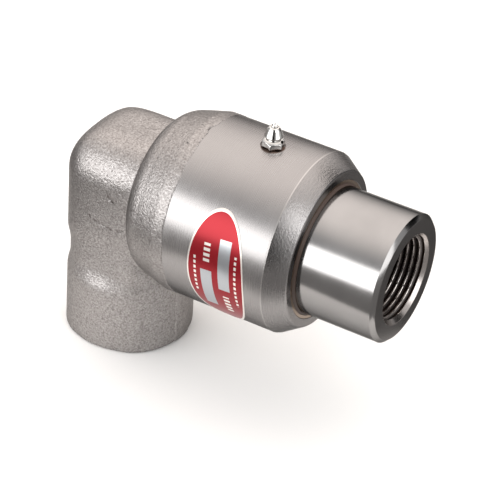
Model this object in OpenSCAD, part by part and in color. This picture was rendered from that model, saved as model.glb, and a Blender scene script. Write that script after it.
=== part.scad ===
// Ball swivel joint for hydraulic pipe. A cast elbow carries a threaded port and the
// housing barrel. A threaded sleeve turns in the barrel on two rows of balls, and a
// spring-loaded chevron packing seals the sleeve's tail.
// Millimetres. X is the swivel axis towards the sleeve's mouth and Z is up. The
// origin is the centre of the elbow port's face.

/* [Elbow casting] */
// Height of the swivel axis above the port's face
axis_h = 64; // [62:1:80]
// From the elbow port's axis out to the sleeve's mouth
mouth_reach = 112.925; // [108:0.005:140]
// Diameter of the flow passage
flow_d = 25; // [20:0.5:26]
// Outside diameter of the port's round band
port_d = 48; // [46:0.5:54]
// Height of the port's round band
port_band_h = 24.5; // [20:0.5:28]
// Rounding from the band up to the squared body
port_round_r = 8; // [2:0.5:10]
// Width across the squared body's side flats
block_w = 45; // [42:0.2:47.6]
// From the port's axis back to the squared body's rear face
block_back = 21.2; // [19:0.2:24]
// From the swivel axis up to the squared body's top face
block_top = 23; // [21:0.5:26]
// Radius on the squared body's upright edges
rear_edge_r = 17; // [8:0.5:19]
// Radius on the squared body's long top edges
top_edge_r = 17.5; // [4:0.5:20]
// Radius on the long lower edges of the body's level leg
low_edge_r = 14; // [4:0.5:20]
// Radius where the top turns down into the rear face
rear_top_r = 18; // [4:0.5:20]
// Radius at which the body's two rear corners are turned off
corner_turn_r = 24.2; // [23:0.1:26]
// Width of the raised strip on the front of the port's band
strip_w = 9.6; // [4:0.2:14]
// How far the strip stands out at its middle
strip_rise = 0.1; // [0.05:0.05:0.6]

/* [Housing barrel] */
// Wall of the machined barrel round the sleeve's journal
housing_wall = 10.15; // [9.5:0.05:13]
// From the port's axis to the barrel's cast rear end
barrel_x = 14; // [13:0.5:16]
// Radius of the dome at the barrel's rear end
dome_r = 10; // [6:0.5:12]
// Length of the casting's draft in front of the dome
draft_len = 7; // [3:0.5:9]
// How much the draft widens the barrel
draft = 1.7; // [0.5:0.1:3]
// How far the cast skin stands proud of the machined barrel
skin = 0.2; // [0.1:0.05:0.8]
// Length of cast skin left on the barrel, from its rear end
skin_len = 20; // [19.5:0.5:26]
// Length of the cone at the nose
nose_cone_len = 7.5; // [3:0.5:10]
// Radial step of that cone, down to the flat nose face
nose_cone_step = 4.9; // [3:0.1:6]
// From the front ball row to the nose face
front_land = 16.6; // [12:0.2:24]

/* [Swivel sleeve] */
// Outside diameter of the sleeve
sleeve_d = 48; // [47:0.1:49]
// Outside diameter of the sleeve's tail
tail_d = 34; // [32:0.1:35]
// Length of the slim chamfer at the sleeve's mouth
mouth_edge_len = 1.1; // [0.4:0.1:2]
// Radial step of that chamfer
mouth_edge_step = 0.7; // [0.3:0.1:1.5]
// Chamfer on the end of the tail
tail_chamfer = 0.8; // [0.3:0.1:1.5]
// End play between the sleeve's faces and the housing's
end_gap = 0.6; // [0.3:0.1:1.5]

/* [Pipe ports] */
// Diameter over the roots of the pipe thread
thread_d = 33.25; // [28:0.05:34]
// Length of thread in each port
thread_len = 22; // [12:0.5:24]
// Chamfer at the mouth of the sleeve's port
mouth_chamfer = 0.7; // [0.5:0.1:2]

/* [Ball bearing] */
// Ball diameter
ball_d = 6.35; // [5:0.05:7]
// Distance between the two ball rows
row_spacing = 17; // [15:0.5:24]
// Clearance between a ball and its races
race_gap = 0.05; // [0.02:0.01:0.1]
// Share of a row's circle that its balls fill
row_fill = 0.94; // [0.6:0.01:0.96]
// Wall left between the rear race and the O-ring groove
race_wall = 1.1; // [0.8:0.1:3]
// Diameter of the loading plugs
plug_d = 8; // [7.6:0.1:10]
// How deep a loading plug sits below the barrel's surface
plug_sink = 0.8; // [0.6:0.1:2]
// Width across flats of a loading plug's socket
plug_socket_af = 4; // [2.5:0.5:5]
// Depth of a loading plug's socket
plug_socket_depth = 3.2; // [2:0.1:4]
// Radial clearance between turning cylinders
running_gap = 0.05; // [0.03:0.01:0.08]
// Radial clearance round fixed pieces
seat_gap = 0.03; // [0.01:0.01:0.05]

/* [Packing chamber] */
// Radial room for the packing round the sleeve's tail
packing_room = 4.5; // [3.8:0.1:5]
// Land between the flow passage and the tail bush
bush_land = 1; // [0.5:0.1:2]
// Length of the tail bush
bush_len = 6; // [4:0.1:8]
// Wall of the tail bush
bush_wall = 2; // [1.5:0.1:2.2]
// Loaded height of the wave spring
spring_h = 4.2; // [3:0.1:6]
// Thickness of the wave spring's strip
spring_strip = 0.8; // [0.5:0.1:1.2]
// Number of waves in the spring
spring_waves = 3; // [2:1:5]
// Thickness of the spring seat
spring_seat_t = 1.2; // [0.8:0.1:2]
// Flat part of the header and footer rings
packing_base_t = 1.6; // [1:0.1:3]
// Axial pitch of the V rings
v_ring_t = 2; // [1.5:0.1:3]
// Depth of the packing's V
vee_depth = 2.2; // [1.2:0.1:2.6]
// Thickness of the retainer washer
retainer_t = 1.4; // [1:0.1:2.5]
// Thickness of the snap ring
snap_t = 1.2; // [0.8:0.1:2]
// How far the snap ring reaches into the chamber's wall
snap_bite = 1.2; // [0.6:0.1:1.6]
// How far the snap ring stands into the chamber
snap_reach = 1.8; // [1:0.1:2.4]
// Lip of the housing in front of the snap ring's groove
snap_lip = 1; // [0.6:0.1:2]
// Radial clearance round the packing pieces
packing_gap = 0.06; // [0.04:0.01:0.1]

/* [Seals] */
// From the sleeve's rear face to the O-ring groove
o_ring_wall = 0.9; // [0.7:0.1:2]
// Width of the O-ring groove
o_ring_groove_w = 2.3; // [1.9:0.1:3]
// Depth of the O-ring groove
o_ring_groove_h = 1.65; // [1.2:0.05:2]
// Radial room for the nose seal round the sleeve
nose_seal_room = 2.1; // [1.7:0.1:3]
// Depth of the nose seal's recess
nose_seal_len = 3.6; // [2.5:0.1:6]
// How far the nose seal's case sits inside the nose face
nose_seal_sink = 0.2; // [0.1:0.1:1]
// How far the nose seal's lip stands out of the nose face
wiper_reach = 0.7; // [0.3:0.1:1.2]
// Wall of the nose seal's case
seal_case_t = 0.7; // [0.4:0.1:0.9]

/* [Grease nipple] */
// Width across the nipple's flats
nipple_af = 7.4; // [6:0.1:8]
// Angle from the sleeve's side to the hexagon's first corner once the nipple is tight
nipple_turn = 43; // [0:1:59]
// Height of the nipple's hexagon
nipple_hex_h = 3.8; // [2.5:0.1:5]
// Diameter of the nipple's threaded shank
nipple_shank_d = 6; // [5:0.1:6.5]
// Length of the shank below the hexagon
nipple_shank_len = 5.5; // [4:0.1:7]
// Largest diameter of the nipple's head
nipple_head_d = 6.6; // [5.4:0.1:6.8]
// Diameter of the nipple's tip
nipple_tip_d = 2.8; // [2.4:0.1:3.6]
// Height of the head above the hexagon
nipple_head_h = 5.1; // [4:0.1:7]
// Bore of the nipple
nipple_bore_d = 2.6; // [2.4:0.1:3]
// Diameter of the check ball in the nipple
check_ball_d = 2.2; // [1.8:0.1:2.3]
// Travel of the check ball
check_travel = 0.8; // [0.4:0.1:1.2]
// Depth of the nipple's spot face in the barrel
spot_depth = 0.6; // [0.3:0.1:1.2]
// Room round the hexagon's corners in the spot face
spot_room = 1.1; // [0.4:0.1:2]
// Width of the grease groove between the ball rows
grease_groove_w = 4; // [2:0.2:6]
// Depth of the grease groove
grease_groove_h = 1; // [0.4:0.1:2]
// Diameter of the grease passage
grease_hole_d = 3; // [2:0.1:4]
// Wire of the check ball's spring
nipple_wire_d = 0.3; // [0.2:0.05:0.4]
// Room for the spring under the check ball
nipple_spring_h = 4.6; // [3:0.1:6]
// Turns of the check ball's spring
nipple_turns = 5; // [3:1:7]

/* [Name plate] */
// Length of the oval plate along the barrel
plate_len = 22.8; // [16:0.2:26]
// Length of the oval plate round the barrel
plate_arc = 53; // [30:0.5:64]
// Thickness of the plate
plate_t = 0.2; // [0.1:0.05:0.5]
// From the nipple back to the plate's centre
plate_back = 0.6; // [-2:0.1:4]
// Angle from the barrel's top round to the plate's centre
plate_angle = 96; // [60:1:120]
// Skew of the plate on the barrel
plate_skew = 3.6; // [-10:0.2:10]

/* [Hidden] */
$fn = 96;
over = 1;

// One node for each V ring
v_rings = 3;
flow_r = flow_d / 2;
sleeve_r = sleeve_d / 2;
tail_r = tail_d / 2;
thread_r = thread_d / 2;
chamber_r = tail_r + packing_room;
race_r = ball_d / 2 + race_gap;
journal_r = sleeve_r + running_gap;
barrel_r = journal_r + housing_wall;
nose_face_r = barrel_r - nose_cone_step;
nose_seal_r = sleeve_r + nose_seal_room;
row_r = sleeve_r + running_gap / 2;
tail_bore_r = tail_r + running_gap;
pack_in_r = tail_r + packing_gap;
pack_out_r = chamber_r - packing_gap;

// Stations along the swivel axis, from the port's axis out to the sleeve's mouth
bush_x = flow_r + bush_land;
chamber_x = bush_x + bush_len;
seat_x = chamber_x + spring_h;
header_x = seat_x + spring_seat_t;
v_ring_x = header_x + packing_base_t;
footer_x = v_ring_x + v_rings * v_ring_t;
retainer_x = footer_x + vee_depth + packing_base_t;
snap_x = retainer_x + retainer_t;
journal_x = snap_x + snap_t + snap_lip;
sleeve_step_x = journal_x + end_gap;
o_ring_x = sleeve_step_x + o_ring_wall;
rear_row_x = o_ring_x + o_ring_groove_w + race_wall + race_r;
nipple_x = rear_row_x + row_spacing / 2;
front_row_x = rear_row_x + row_spacing;
nose_x = front_row_x + front_land;
mouth_x = mouth_reach;
tail_x = bush_x + end_gap;
plate_x = nipple_x - plate_back;

// Levels of the grease nipple above the port's face
nipple_z = axis_h + barrel_r - spot_depth;
nipple_head_z = nipple_hex_h;
nipple_top_z = nipple_hex_h + nipple_head_h;
check_seat_z = nipple_top_z - 1.1;
check_ball_z = check_seat_z - check_ball_d / 2;
spring_ledge_z = check_ball_z - check_ball_d / 2 - nipple_spring_h;

// Puts what follows on the swivel axis, with its Z along the axis
module on_axis(x = 0) {
    translate([x, 0, axis_h]) rotate([0, 90, 0]) children();
}

// Turns a child's X from straight up round to the given angle on the camera side
module at_angle(angle) {
    rotate([0, 0, 180 + angle]) children();
}

module ring(outer_r, inner_r, length) {
    rotate_extrude() translate([inner_r, 0]) square([outer_r - inner_r, length]);
}

module hexagon(af) {
    circle(d = af / cos(30), $fn = 6);
}

// A bar standing on X with its two top corners rounded
module rounded_top(width, height, r) {
    translate([-width / 2, 0]) square([width, height - r]);
    translate([-width / 2 + r, 0]) square([width - 2 * r, height]);
    for (side = [-1, 1]) translate([side * (width / 2 - r), height - r]) circle(r);
}

// A bar from x = 0 with its left top corner rounded
module rounded_left(length, height, r) {
    square([length, height - r]);
    translate([r, 0]) square([length - r, height]);
    translate([r, height - r]) circle(r);
}

// The elbow's upright leg seen from above: square with all four corners rounded
module leg_outline() {
    side_x = 2 * block_back;
    square([side_x - 2 * rear_edge_r, block_w], center = true);
    square([side_x, block_w - 2 * rear_edge_r], center = true);
    for (x = [-1, 1]) for (y = [-1, 1])
        translate([x * (block_back - rear_edge_r), y * (block_w / 2 - rear_edge_r)])
            circle(rear_edge_r);
}

// Limit that turns off the rear corners and leaves everything in front of the port
module corner_limit(body_x, body_h) {
    turn_r = min(rear_top_r, corner_turn_r - over);
    rotate_extrude() {
        square([corner_turn_r, body_h - turn_r]);
        square([corner_turn_r - turn_r, body_h]);
        translate([corner_turn_r - turn_r, body_h - turn_r]) intersection() {
            circle(turn_r);
            square(turn_r);
        }
    }
    translate([0, -corner_turn_r, 0]) cube([body_x, 2 * corner_turn_r, body_h]);
}

// The elbow's squared body: an upright leg and a level leg, rounded along the top
module squared_body() {
    body_x = block_back + barrel_x + dome_r;
    body_h = axis_h + block_top;
    intersection() {
        union() {
            translate([0, 0, port_band_h]) linear_extrude(body_h) leg_outline();
            translate([0, 0, body_h]) rotate([90, 0, 90]) mirror([0, 1, 0])
                linear_extrude(body_x) rounded_top(block_w, 2 * block_top, low_edge_r);
        }
        // Seen along the swivel axis: rounded long top edges
        translate([-block_back, 0, 0]) rotate([90, 0, 90])
            linear_extrude(body_x) rounded_top(block_w, body_h, top_edge_r);
        // Seen from the side: the turn from the top down into the rear face
        translate([-block_back, block_w / 2, 0]) rotate([90, 0, 0])
            linear_extrude(block_w) rounded_left(body_x, body_h, rear_top_r);
        corner_limit(body_x, body_h);
    }
}

// The port's round band, with its rounded top and the raised strip in front
module port_band() {
    port_r = port_d / 2;
    rotate_extrude() {
        square([port_r, port_band_h]);
        square([port_r - port_round_r, port_band_h + port_round_r]);
        translate([port_r - port_round_r, port_band_h]) intersection() {
            circle(port_round_r);
            square(port_round_r);
        }
    }
    translate([0, -strip_w / 2, 0]) cube([port_r + strip_rise, strip_w, axis_h - barrel_r + over]);
}

// The barrel: a dome and its draft with the cast skin, then the machined length and
// the nose cone
module barrel() {
    cast_r = barrel_r + skin;
    dome_top_r = cast_r - draft;
    draft_x = barrel_x + dome_r;
    on_axis() rotate_extrude() {
        translate([0, barrel_x]) square([dome_top_r - dome_r, dome_r]);
        translate([dome_top_r - dome_r, draft_x]) mirror([0, 1]) intersection() {
            circle(dome_r);
            square(dome_r);
        }
        polygon([
            [0, draft_x], [dome_top_r, draft_x], [cast_r, draft_x + draft_len],
            [cast_r, barrel_x + skin_len], [barrel_r, barrel_x + skin_len],
            [barrel_r, nose_x - nose_cone_len], [nose_face_r, nose_x], [0, nose_x]
        ]);
    }
}

// The flow passage of the elbow and the port's thread bore
module elbow_passage() {
    translate([0, 0, -over]) cylinder(r = flow_r, h = axis_h + over);
    translate([0, 0, axis_h]) sphere(flow_r);
    on_axis() cylinder(r = flow_r, h = bush_x + over);
    rotate_extrude() thread_bore(0);
}

// Half section of a thread bore: mouth chamfer, bore and the cone at its bottom
module thread_bore(chamfer) {
    polygon([
        [0, -over], [thread_r + chamfer + over, -over],
        [thread_r, chamfer], [thread_r, thread_len],
        [flow_r, thread_len + (thread_r - flow_r) / 2], [0, thread_len + (thread_r - flow_r) / 2]
    ]);
}

// Bores inside the barrel, from the bush to the nose seal's recess
module housing_bores() {
    on_axis(bush_x) cylinder(r = tail_r + bush_wall + seat_gap, h = bush_len + over);
    on_axis(chamber_x) cylinder(r = chamber_r, h = journal_x - chamber_x + over);
    on_axis(snap_x - seat_gap)
        cylinder(r = chamber_r + snap_bite + seat_gap, h = snap_t + 2 * seat_gap);
    on_axis(journal_x) cylinder(r = journal_r, h = nose_x - journal_x + over);
    on_axis(nipple_x - grease_groove_w / 2)
        cylinder(r = journal_r + grease_groove_h, h = grease_groove_w);
    on_axis(nose_x - nose_seal_len) cylinder(r = nose_seal_r, h = nose_seal_len + over);
}

// The torus swept by a row of balls, with its clearance
module race(x) {
    on_axis(x) rotate_extrude() translate([row_r, 0]) circle(race_r);
}

module loading_hole(x) {
    translate([x, row_r, axis_h]) rotate([-90, 0, 0])
        cylinder(d = plug_d + 2 * seat_gap, h = barrel_r);
}

// Spot face, tapped hole and grease passage under the nipple
module nipple_hole() {
    translate([nipple_x, 0, nipple_z]) {
        cylinder(r = nipple_af / 2 / cos(30) + spot_room, h = spot_depth + over);
        translate([0, 0, -nipple_shank_len - over])
            cylinder(d = nipple_shank_d + 2 * seat_gap, h = nipple_shank_len + 2 * over);
    }
    translate([nipple_x, 0, axis_h + journal_r])
        cylinder(d = grease_hole_d, h = barrel_r - journal_r - over);
}

module elbow_body() {
    color("#a39b93") difference() {
        union() {
            squared_body();
            port_band();
            barrel();
        }
        elbow_passage();
        housing_bores();
        race(rear_row_x);
        race(front_row_x);
        loading_hole(rear_row_x);
        loading_hole(front_row_x);
        nipple_hole();
    }
}

module swivel_sleeve() {
    groove_r = sleeve_r - o_ring_groove_h;
    color("#b9b8b4") difference() {
        on_axis() rotate_extrude() polygon([
            [flow_r, tail_x], [tail_r - tail_chamfer, tail_x], [tail_r, tail_x + tail_chamfer],
            [tail_r, sleeve_step_x], [sleeve_r, sleeve_step_x], [sleeve_r, o_ring_x],
            [groove_r, o_ring_x], [groove_r, o_ring_x + o_ring_groove_w],
            [sleeve_r, o_ring_x + o_ring_groove_w], [sleeve_r, mouth_x - mouth_edge_len],
            [sleeve_r - mouth_edge_step, mouth_x], [flow_r, mouth_x]
        ]);
        race(rear_row_x);
        race(front_row_x);
        on_axis(mouth_x) mirror([0, 0, 1]) rotate_extrude() thread_bore(mouth_chamfer);
    }
}

// One row of balls, spaced evenly round the races
module ball_row(x) {
    ball_angle = 2 * asin(ball_d / 2 / row_r);
    count = floor(360 * row_fill / ball_angle);
    on_axis(x) for (i = [0 : count - 1]) rotate([0, 0, 90 + i * 360 / count])
        translate([row_r, 0, 0]) sphere(d = ball_d);
}

module rear_balls() {
    color("#d4d5d6") ball_row(rear_row_x);
}

module front_balls() {
    color("#d4d5d6") ball_row(front_row_x);
}

// A loading plug, its tip cut to the race and a hexagon socket in its head
module ball_plug(x) {
    head_y = barrel_r - plug_sink;
    root_y = journal_r - over;
    difference() {
        translate([x, root_y, axis_h]) rotate([-90, 0, 0]) cylinder(d = plug_d, h = head_y - root_y);
        on_axis(x - plug_d) cylinder(r = journal_r + seat_gap, h = 2 * plug_d);
        race(x);
        translate([x, head_y - plug_socket_depth, axis_h]) rotate([-90, 0, 0])
            linear_extrude(plug_socket_depth + over) hexagon(plug_socket_af);
    }
}

module rear_ball_plug() {
    color("#8d8a86") ball_plug(rear_row_x);
}

module front_ball_plug() {
    color("#8d8a86") ball_plug(front_row_x);
}

// The nipple's outline above its hexagon, from the neck over the head to the tip
module nipple_head_outline() {
    neck_r = nipple_head_d / 2 - 0.6;
    cheek_r = 0.6;
    polygon(concat(
        [[0, 0], [neck_r, 0], [neck_r, 0.2]],
        [for (a = [-60 : 20 : 40]) [neck_r + cheek_r * cos(a), 0.85 + cheek_r * sin(a)]],
        [[nipple_tip_d / 2 + 0.8, nipple_head_h - 1.4]],
        [for (a = [15 : 25 : 90]) [nipple_tip_d / 2 + 0.7 * cos(a), nipple_head_h - 1.3 + 0.7 * sin(a)]],
        [[nipple_tip_d / 2, nipple_head_h], [0, nipple_head_h]]
    ));
}

module grease_nipple() {
    shank_r = nipple_shank_d / 2;
    bore_r = nipple_bore_d / 2;
    translate([nipple_x, 0, nipple_z]) color("#dcdcda") difference() {
        union() {
            translate([0, 0, -nipple_shank_len]) cylinder(r = shank_r, h = nipple_shank_len);
            intersection() {
                rotate([0, 0, nipple_turn]) linear_extrude(nipple_hex_h) hexagon(nipple_af);
                rotate_extrude() polygon([
                    [0, 0], [nipple_af / 2 + 0.3, 0], [nipple_af / 2 + 0.7, 0.5],
                    [nipple_af / 2 + 0.7, nipple_hex_h * 0.5],
                    [nipple_af / 2 - 0.2, nipple_hex_h * 0.88],
                    [nipple_af / 2 - 0.7, nipple_hex_h], [0, nipple_hex_h]
                ]);
            }
            translate([0, 0, nipple_head_z]) rotate_extrude() nipple_head_outline();
        }
        // Bore from below, a ledge for the spring, the ball's seat and the tip's hole
        translate([0, 0, spring_ledge_z])
            cylinder(r = bore_r, h = check_seat_z - bore_r / 2 - spring_ledge_z);
        translate([0, 0, check_seat_z - bore_r / 2]) cylinder(r1 = bore_r, r2 = 0.5, h = bore_r - 0.5);
        translate([0, 0, spring_ledge_z - 2 * nipple_top_z])
            cylinder(r = bore_r * 0.6, h = 2 * nipple_top_z + over);
        cylinder(r = 0.5, h = nipple_top_z + over);
    }
}

module nipple_check_ball() {
    translate([nipple_x, 0, nipple_z + check_ball_z]) color("#c9cacb") sphere(d = check_ball_d);
}

// A closed tube swept along a list of points, with one ring of corners at each
module swept(path, r, sides) {
    count = len(path);
    rings = [for (i = [0 : count - 1]) let (
        ahead = path[min(i + 1, count - 1)] - path[max(i - 1, 0)],
        along = ahead / norm(ahead),
        out = cross(along, [0, 0, 1]) / norm(cross(along, [0, 0, 1])),
        up = cross(out, along)
    ) for (k = [0 : sides - 1])
        path[i] + r * (out * cos(k * 360 / sides) + up * sin(k * 360 / sides))];
    walls = [for (i = [0 : count - 2]) for (k = [0 : sides - 1]) let (
        a = i * sides + k,
        b = i * sides + (k + 1) % sides
    ) for (face = [[a, b, b + sides], [a, b + sides, a + sides]]) face];
    start = [for (k = [sides - 1 : -1 : 0]) k];
    end = [for (k = [0 : sides - 1]) (count - 1) * sides + k];
    polyhedron(rings, concat([start], walls, [end]), convexity = 6);
}

module nipple_spring() {
    coil_r = nipple_bore_d / 2 - nipple_wire_d / 2 - 0.08;
    touch_r = (check_ball_d + nipple_wire_d) / 2 + seat_gap;
    low_z = spring_ledge_z + nipple_wire_d / 2 + seat_gap;
    high_z = check_ball_z - sqrt(pow(touch_r, 2) - pow(coil_r, 2));
    steps = nipple_turns * 12;
    path = [for (i = [0 : steps]) [
        coil_r * cos(i * 30), coil_r * sin(i * 30), low_z + (high_z - low_z) * i / steps
    ]];
    translate([nipple_x, 0, nipple_z]) color("#b8babc") swept(path, nipple_wire_d / 2, 5);
}

module tail_bush() {
    color("#b08d4f") on_axis(bush_x) ring(tail_r + bush_wall, tail_bore_r, bush_len);
}

// A flat strip bent in waves round the tail, touching the bush and the spring seat
module wave_spring() {
    inner_r = tail_r + 0.6;
    outer_r = chamber_r - 0.4;
    steps = 20 * spring_waves;
    swing = (spring_h - spring_strip) / 2 - 0.03;
    corners = [for (i = [0 : steps - 1]) let (
        a = i * 360 / steps,
        z = spring_h / 2 + swing * sin(spring_waves * a)
    ) for (c = [[inner_r, -1], [outer_r, -1], [outer_r, 1], [inner_r, 1]])
        [c[0] * cos(a), c[0] * sin(a), z + c[1] * spring_strip / 2]];
    walls = [for (i = [0 : steps - 1]) for (k = [0 : 3]) let (
        j = (i + 1) % steps
    ) [i * 4 + k, i * 4 + (k + 1) % 4, j * 4 + (k + 1) % 4, j * 4 + k]];
    color("#9aa0a4") on_axis(chamber_x) polyhedron(corners, walls, convexity = 6);
}

module spring_seat() {
    color("#8f959a") on_axis(seat_x) ring(pack_out_r, pack_in_r, spring_seat_t);
}

// Half sections of the packing: flat base, V ring and the cup behind them
module header_ring() {
    mid_r = (pack_in_r + pack_out_r) / 2;
    color("#3b3a38") on_axis(header_x) rotate_extrude() polygon([
        [pack_in_r, 0], [pack_out_r, 0], [pack_out_r, packing_base_t],
        [mid_r, packing_base_t + vee_depth], [pack_in_r, packing_base_t]
    ]);
}

module v_ring(index) {
    mid_r = (pack_in_r + pack_out_r) / 2;
    color("#5a5047") on_axis(v_ring_x + index * v_ring_t) rotate_extrude() polygon([
        [pack_in_r, 0], [mid_r, vee_depth], [pack_out_r, 0],
        [pack_out_r, v_ring_t], [mid_r, vee_depth + v_ring_t], [pack_in_r, v_ring_t]
    ]);
}

module v_ring_1() {
    v_ring(0);
}

module v_ring_2() {
    v_ring(1);
}

module v_ring_3() {
    v_ring(2);
}

module footer_ring() {
    mid_r = (pack_in_r + pack_out_r) / 2;
    color("#3b3a38") on_axis(footer_x) rotate_extrude() polygon([
        [pack_in_r, 0], [mid_r, vee_depth], [pack_out_r, 0],
        [pack_out_r, vee_depth + packing_base_t], [pack_in_r, vee_depth + packing_base_t]
    ]);
}

module retainer_washer() {
    color("#8f959a") on_axis(retainer_x) ring(pack_out_r, pack_in_r, retainer_t);
}

// An internal snap ring: an open band with two drilled ears at its gap
module retainer_snap_ring() {
    outer_r = chamber_r + snap_bite;
    inner_r = chamber_r - snap_reach;
    gap_angle = 24;
    ear_r = 1.6;
    ear_place_r = tail_r + packing_gap + ear_r + 0.3;
    color("#4a4d50") on_axis(snap_x) linear_extrude(snap_t) difference() {
        union() {
            difference() {
                circle(outer_r);
                circle(inner_r);
                polygon([
                    [0, 0], [2 * outer_r, -2 * outer_r * tan(gap_angle / 2)],
                    [2 * outer_r, 2 * outer_r * tan(gap_angle / 2)]
                ]);
            }
            for (side = [-1, 1]) rotate([0, 0, side * (gap_angle / 2 + 4)])
                intersection() {
                    translate([ear_place_r, 0]) union() {
                        circle(ear_r);
                        translate([0, -ear_r]) square([inner_r - ear_place_r + 0.6, 2 * ear_r]);
                    }
                    circle(outer_r);
                }
        }
        for (side = [-1, 1]) rotate([0, 0, side * (gap_angle / 2 + 4)])
            translate([ear_place_r, 0]) circle(0.7);
    }
}

// The O-ring at its squeezed height, in the sleeve's groove
module grease_o_ring() {
    section_r = (o_ring_groove_h + running_gap - 0.06) / 2;
    color("#22211f") on_axis(o_ring_x + o_ring_groove_w / 2) rotate_extrude()
        translate([sleeve_r - o_ring_groove_h + 0.03 + section_r, 0]) circle(section_r);
}

// The nose seal's pressed case: an outer wall with a flange at its front
module nose_seal_case() {
    outer_r = nose_seal_r - seat_gap;
    flange_r = sleeve_r + nose_seal_room * 0.45;
    length = nose_seal_len - nose_seal_sink;
    color("#a79a8c") on_axis(nose_x - nose_seal_len) rotate_extrude() polygon([
        [outer_r - seal_case_t, 0], [outer_r, 0], [outer_r, length], [flange_r, length],
        [flange_r, length - seal_case_t], [outer_r - seal_case_t, length - seal_case_t]
    ]);
}

// The rubber inside the case, with the lip that wipes the sleeve in front of the flange
module nose_seal_lip() {
    outer_r = nose_seal_r - seat_gap - seal_case_t - 0.02;
    throat_r = sleeve_r + nose_seal_room * 0.45 - 0.03;
    wipe_r = sleeve_r + running_gap;
    length = nose_seal_len - nose_seal_sink;
    tip = nose_seal_len + wiper_reach;
    color("#4a423c") on_axis(nose_x - nose_seal_len) rotate_extrude() polygon([
        [wipe_r + 0.4, 0], [outer_r, 0], [outer_r, length - seal_case_t - 0.02],
        [throat_r, length - seal_case_t - 0.02], [throat_r, length],
        [wipe_r + 0.25, tip], [wipe_r, tip], [wipe_r, tip - 1], [wipe_r + 0.4, tip - 2]
    ]);
}

// The oval name plate, bent round the barrel
module name_plate() {
    half_x = plate_len / 2;
    half_arc = plate_arc / 2;
    to_degrees = 180 / (PI * barrel_r);
    outline = [for (a = [0 : 5 : 355]) let (
        along = half_x * cos(a) * cos(plate_skew) + half_arc * sin(a) * sin(plate_skew),
        round_by = half_arc * sin(a) * cos(plate_skew) - half_x * cos(a) * sin(plate_skew)
    ) [barrel_r * sin(round_by * to_degrees), along]];
    color("#c02030") on_axis(plate_x) at_angle(plate_angle) intersection() {
        translate([0, 0, -plate_len])
            ring(barrel_r + seat_gap + plate_t, barrel_r + seat_gap, 2 * plate_len);
        rotate([90, 0, 90]) linear_extrude(2 * barrel_r) polygon(outline);
    }
}

elbow_body();
swivel_sleeve();
rear_balls();
front_balls();
rear_ball_plug();
front_ball_plug();
grease_nipple();
nipple_check_ball();
nipple_spring();
tail_bush();
wave_spring();
spring_seat();
header_ring();
v_ring_1();
v_ring_2();
v_ring_3();
footer_ring();
retainer_washer();
retainer_snap_ring();
grease_o_ring();
nose_seal_case();
nose_seal_lip();
name_plate();
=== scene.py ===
"""Looks of the ball swivel joint, in the frame of the CAD model, in metres.

The casting is one smooth surface, where a field that joins rounded legs, a port band and
a dome is zero. The barrel, the sleeve, both pipe threads, the nipple, its spring and the
name plate are laid out point by point. The other pieces are the CAD nodes with materials.
"""

import math

import bpy
import numpy as np
from mathutils import Matrix, Vector

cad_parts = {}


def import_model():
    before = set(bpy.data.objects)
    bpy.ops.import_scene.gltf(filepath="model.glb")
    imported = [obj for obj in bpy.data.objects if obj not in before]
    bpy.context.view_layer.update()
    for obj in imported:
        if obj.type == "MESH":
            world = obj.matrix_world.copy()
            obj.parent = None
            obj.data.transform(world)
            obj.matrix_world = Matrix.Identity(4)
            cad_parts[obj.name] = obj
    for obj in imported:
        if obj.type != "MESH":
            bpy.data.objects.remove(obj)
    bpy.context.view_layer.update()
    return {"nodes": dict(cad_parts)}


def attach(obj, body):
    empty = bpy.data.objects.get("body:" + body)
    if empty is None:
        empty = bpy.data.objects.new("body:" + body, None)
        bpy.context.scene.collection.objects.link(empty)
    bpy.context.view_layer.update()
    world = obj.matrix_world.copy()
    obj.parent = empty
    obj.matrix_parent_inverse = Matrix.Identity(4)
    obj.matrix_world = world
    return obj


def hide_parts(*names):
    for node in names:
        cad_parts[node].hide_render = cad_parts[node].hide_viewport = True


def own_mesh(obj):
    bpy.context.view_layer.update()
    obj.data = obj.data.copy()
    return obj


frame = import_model()
rng = np.random.default_rng(7)

MM = 0.001

# Sizes in millimetres, as in the CAD model. X runs along the swivel axis and Z up, from
# the face of the elbow's port
AXIS_H = 64.0
FLOW_R = 12.5

# Casting
PORT_R = 23.9
BLOCK_HALF = 22.5
BLOCK_BACK = 21.2
BLOCK_TOP = 23.0
SKIN_R = 34.34
SKIN_END = 34.0
CASTING_END = 35.6
PORT_ROOM_R = 19.8
PORT_ROOM_TOP = 24.6
HOUSING_ROOM_R = 25.8
HOUSING_ROOM_X = 17.4

# Machined housing
BARREL_R = 34.2
CONE_X = 74.125
NOSE_X = 81.625
NOSE_R = 29.3
NOSE_EDGE = 1.2
HOUSING_X = 17.3
HOUSING_WALL_R = 25.9
BARREL_X = 33.0
BUSH_SEAT_X = 13.5
BUSH_SEAT_R = 19.03
CHAMBER_X = (19.5, 39.9)
CHAMBER_R = 21.5
SNAP_GROOVE_X = (37.67, 38.93)
SNAP_GROOVE_R = 22.73
BORE_R = 24.05
GREASE_GROOVE_X = (54.525, 58.525)
GREASE_GROOVE_R = 25.05
SEAL_SEAT_X = 78.025
SEAL_SEAT_R = 26.1
PLUG_HOLE_R = 4.03

# Ball rows: places along the axis, and the races' centre and radius
ROWS = (48.025, 65.025)
RACE_CENTRE_R = 24.025
RACE_R = 3.225

# Sleeve
SLEEVE_R = 24.0
MOUTH_X = 112.925
MOUTH_CHAMFER = 1.45
TAIL_X = 14.1
TAIL_R = 17.0
TAIL_END = 40.5
O_RING_GROOVE_X = (41.4, 43.7)
O_RING_GROOVE_R = 22.35

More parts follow.
